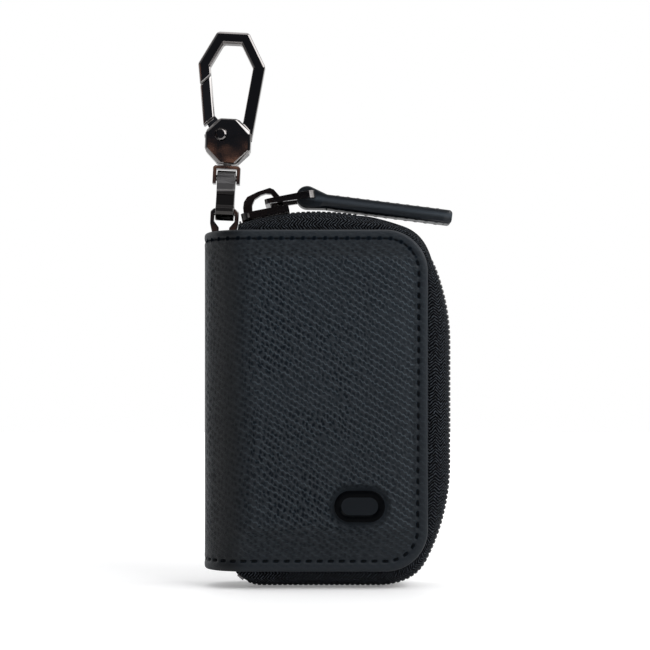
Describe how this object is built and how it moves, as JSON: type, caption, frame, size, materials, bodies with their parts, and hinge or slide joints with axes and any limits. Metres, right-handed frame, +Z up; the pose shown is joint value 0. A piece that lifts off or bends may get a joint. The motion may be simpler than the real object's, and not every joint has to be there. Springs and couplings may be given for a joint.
{
  "type": "key case",
  "caption": "Zip-round leather key case in book form, with a snap hook on a swivel at its spine, key hooks inside and a leather zip pull",
  "frame": {"origin": "middle of the bounding box, at the height of the surface that the zip's lower run stands on", "axes": "+Z up along the spine, -Y the front cover's outward normal, +X from the spine to the fore edge"},
  "size_m": [0.0742, 0.0248, 0.1602],
  "materials": {
    "leather": "charcoal leather with a fine embossed grain",
    "lining": "plain dark woven lining",
    "board": "stiffening board",
    "zip_tape": "black woven zip tape",
    "zip_teeth": "black moulded teeth",
    "gunmetal": "dark polished gunmetal plating",
    "gloss_plate": "gloss black",
    "nickel_steel": "nickel plated steel"
  },
  "bodies": {
    "back_half": {"back_cover": "leather", "back_board": "board", "back_lining": "lining", "back_tape": "zip_tape", "back_teeth": "zip_teeth", "back_top_stop": "gunmetal", "bottom_stop": "gunmetal", "key_rack": "nickel_steel", "rack_rivet_1": "nickel_steel", "rack_rivet_2": "nickel_steel"},
    "spine": {"spine_leather": "leather", "spine_lining": "lining", "ring_tab": "leather"},
    "front_half": {"front_cover": "leather", "front_board": "board", "front_lining": "lining", "front_pocket": "lining", "front_tape": "zip_tape", "front_teeth": "zip_teeth", "front_top_stop": "gunmetal", "badge_plate": "gloss_plate"},
    "slider": {"slider_body": "gunmetal"},
    "link": {"pull_link": "gunmetal"},
    "pull": {"pull_leather": "leather"},
    "ring": {"ring": "gunmetal"},
    "strap": {"strap_link": "gunmetal"},
    "stirrup": {"swivel_stirrup": "gunmetal"},
    "hook": {"hook_frame": "gunmetal", "gate_rivet": "gunmetal", "gate_spring": "nickel_steel"},
    "gate": {"hook_gate": "gunmetal"},
    "key_hook_1": {"key_hook_1": "nickel_steel"},
    "hook_tongue_1": {"hook_tongue_1": "nickel_steel"},
    "key_hook_2": {"key_hook_2": "nickel_steel"},
    "hook_tongue_2": {"hook_tongue_2": "nickel_steel"},
    "key_hook_3": {"key_hook_3": "nickel_steel"},
    "hook_tongue_3": {"hook_tongue_3": "nickel_steel"},
    "key_hook_4": {"key_hook_4": "nickel_steel"},
    "hook_tongue_4": {"hook_tongue_4": "nickel_steel"}
  },
  "joints": [
    {"name": "spine_fold", "type": "hinge", "parent": "back_half", "child": "spine", "pos_m": [-0.03269, 0.00942, 0.0534], "axis": [0, 0, -1], "range_deg": [0, 90]},
    {"name": "front_fold", "type": "hinge", "parent": "spine", "child": "front_half", "pos_m": [-0.03269, -0.00942, 0.0534], "axis": [0, 0, -1], "range_deg": [0, 90]},
    {"name": "slider_run", "type": "hinge", "parent": "back_half", "child": "slider", "pos_m": [-0.00324, 0, 0.0334], "axis": [0, 1, 0], "range_deg": [0, 8.5]},
    {"name": "link_tilt", "type": "hinge", "parent": "slider", "child": "link", "pos_m": [-0.01711, 0, 0.11067], "axis": [0, -1, 0], "range_deg": [0, 60]},
    {"name": "pull_tilt", "type": "hinge", "parent": "link", "child": "pull", "pos_m": [-0.00408, 0, 0.11282], "axis": [0, -1, 0], "range_deg": [0, 20]},
    {"name": "ring_tilt", "type": "hinge", "parent": "spine", "child": "ring", "pos_m": [-0.03007, 0, 0.0965], "axis": [0.9988, 0, -0.0489], "range_deg": [-25, 25]},
    {"name": "strap_tilt", "type": "hinge", "parent": "ring", "child": "strap", "pos_m": [-0.0295, 0, 0.10819], "axis": [0.9988, 0, -0.0489], "range_deg": [-30, 30]},
    {"name": "stirrup_tilt", "type": "hinge", "parent": "strap", "child": "stirrup", "pos_m": [-0.02902, 0, 0.11797], "axis": [0.9988, 0, -0.0489], "range_deg": [-30, 30]},
    {"name": "hook_swivel", "type": "hinge", "parent": "stirrup", "child": "hook", "pos_m": [-0.02886, 0, 0.12117], "axis": [0.0489, 0, 0.9988], "continuous": true},
    {"name": "gate_swing", "type": "hinge", "parent": "hook", "child": "gate", "pos_m": [-0.03042, 0, 0.13026], "axis": [0, 1, 0], "range_deg": [0, 30], "stiffness_Nm_per_rad": 0.02, "springref_deg": -11.46},
    {"name": "key_hook_swing_1", "type": "hinge", "parent": "back_half", "child": "key_hook_1", "pos_m": [-0.01477, 0.0064, 0.088], "axis": [0, 1, 0], "range_deg": [-6, 6]},
    {"name": "tongue_flex_1", "type": "hinge", "parent": "key_hook_1", "child": "hook_tongue_1", "pos_m": [-0.01607, 0.0064, 0.0848], "axis": [0, -1, 0], "range_deg": [0, 9], "stiffness_Nm_per_rad": 0.01, "springref_deg": -5.73},
    {"name": "key_hook_swing_2", "type": "hinge", "parent": "back_half", "child": "key_hook_2", "pos_m": [-0.00377, 0.0064, 0.088], "axis": [0, 1, 0], "range_deg": [-6, 6]},
    {"name": "tongue_flex_2", "type": "hinge", "parent": "key_hook_2", "child": "hook_tongue_2", "pos_m": [-0.00507, 0.0064, 0.0848], "axis": [0, -1, 0], "range_deg": [0, 9], "stiffness_Nm_per_rad": 0.01, "springref_deg": -5.73},
    {"name": "key_hook_swing_3", "type": "hinge", "parent": "back_half", "child": "key_hook_3", "pos_m": [0.00723, 0.0064, 0.088], "axis": [0, 1, 0], "range_deg": [-6, 6]},
    {"name": "tongue_flex_3", "type": "hinge", "parent": "key_hook_3", "child": "hook_tongue_3", "pos_m": [0.00593, 0.0064, 0.0848], "axis": [0, -1, 0], "range_deg": [0, 9], "stiffness_Nm_per_rad": 0.01, "springref_deg": -5.73},
    {"name": "key_hook_swing_4", "type": "hinge", "parent": "back_half", "child": "key_hook_4", "pos_m": [0.01823, 0.0064, 0.088], "axis": [0, 1, 0], "range_deg": [-6, 6]},
    {"name": "tongue_flex_4", "type": "hinge", "parent": "key_hook_4", "child": "hook_tongue_4", "pos_m": [0.01693, 0.0064, 0.0848], "axis": [0, -1, 0], "range_deg": [0, 9], "stiffness_Nm_per_rad": 0.01, "springref_deg": -5.73}
  ],
  "couplings": [
    {"joint": "front_fold", "follows": "spine_fold", "ratio": 1}
  ]
}
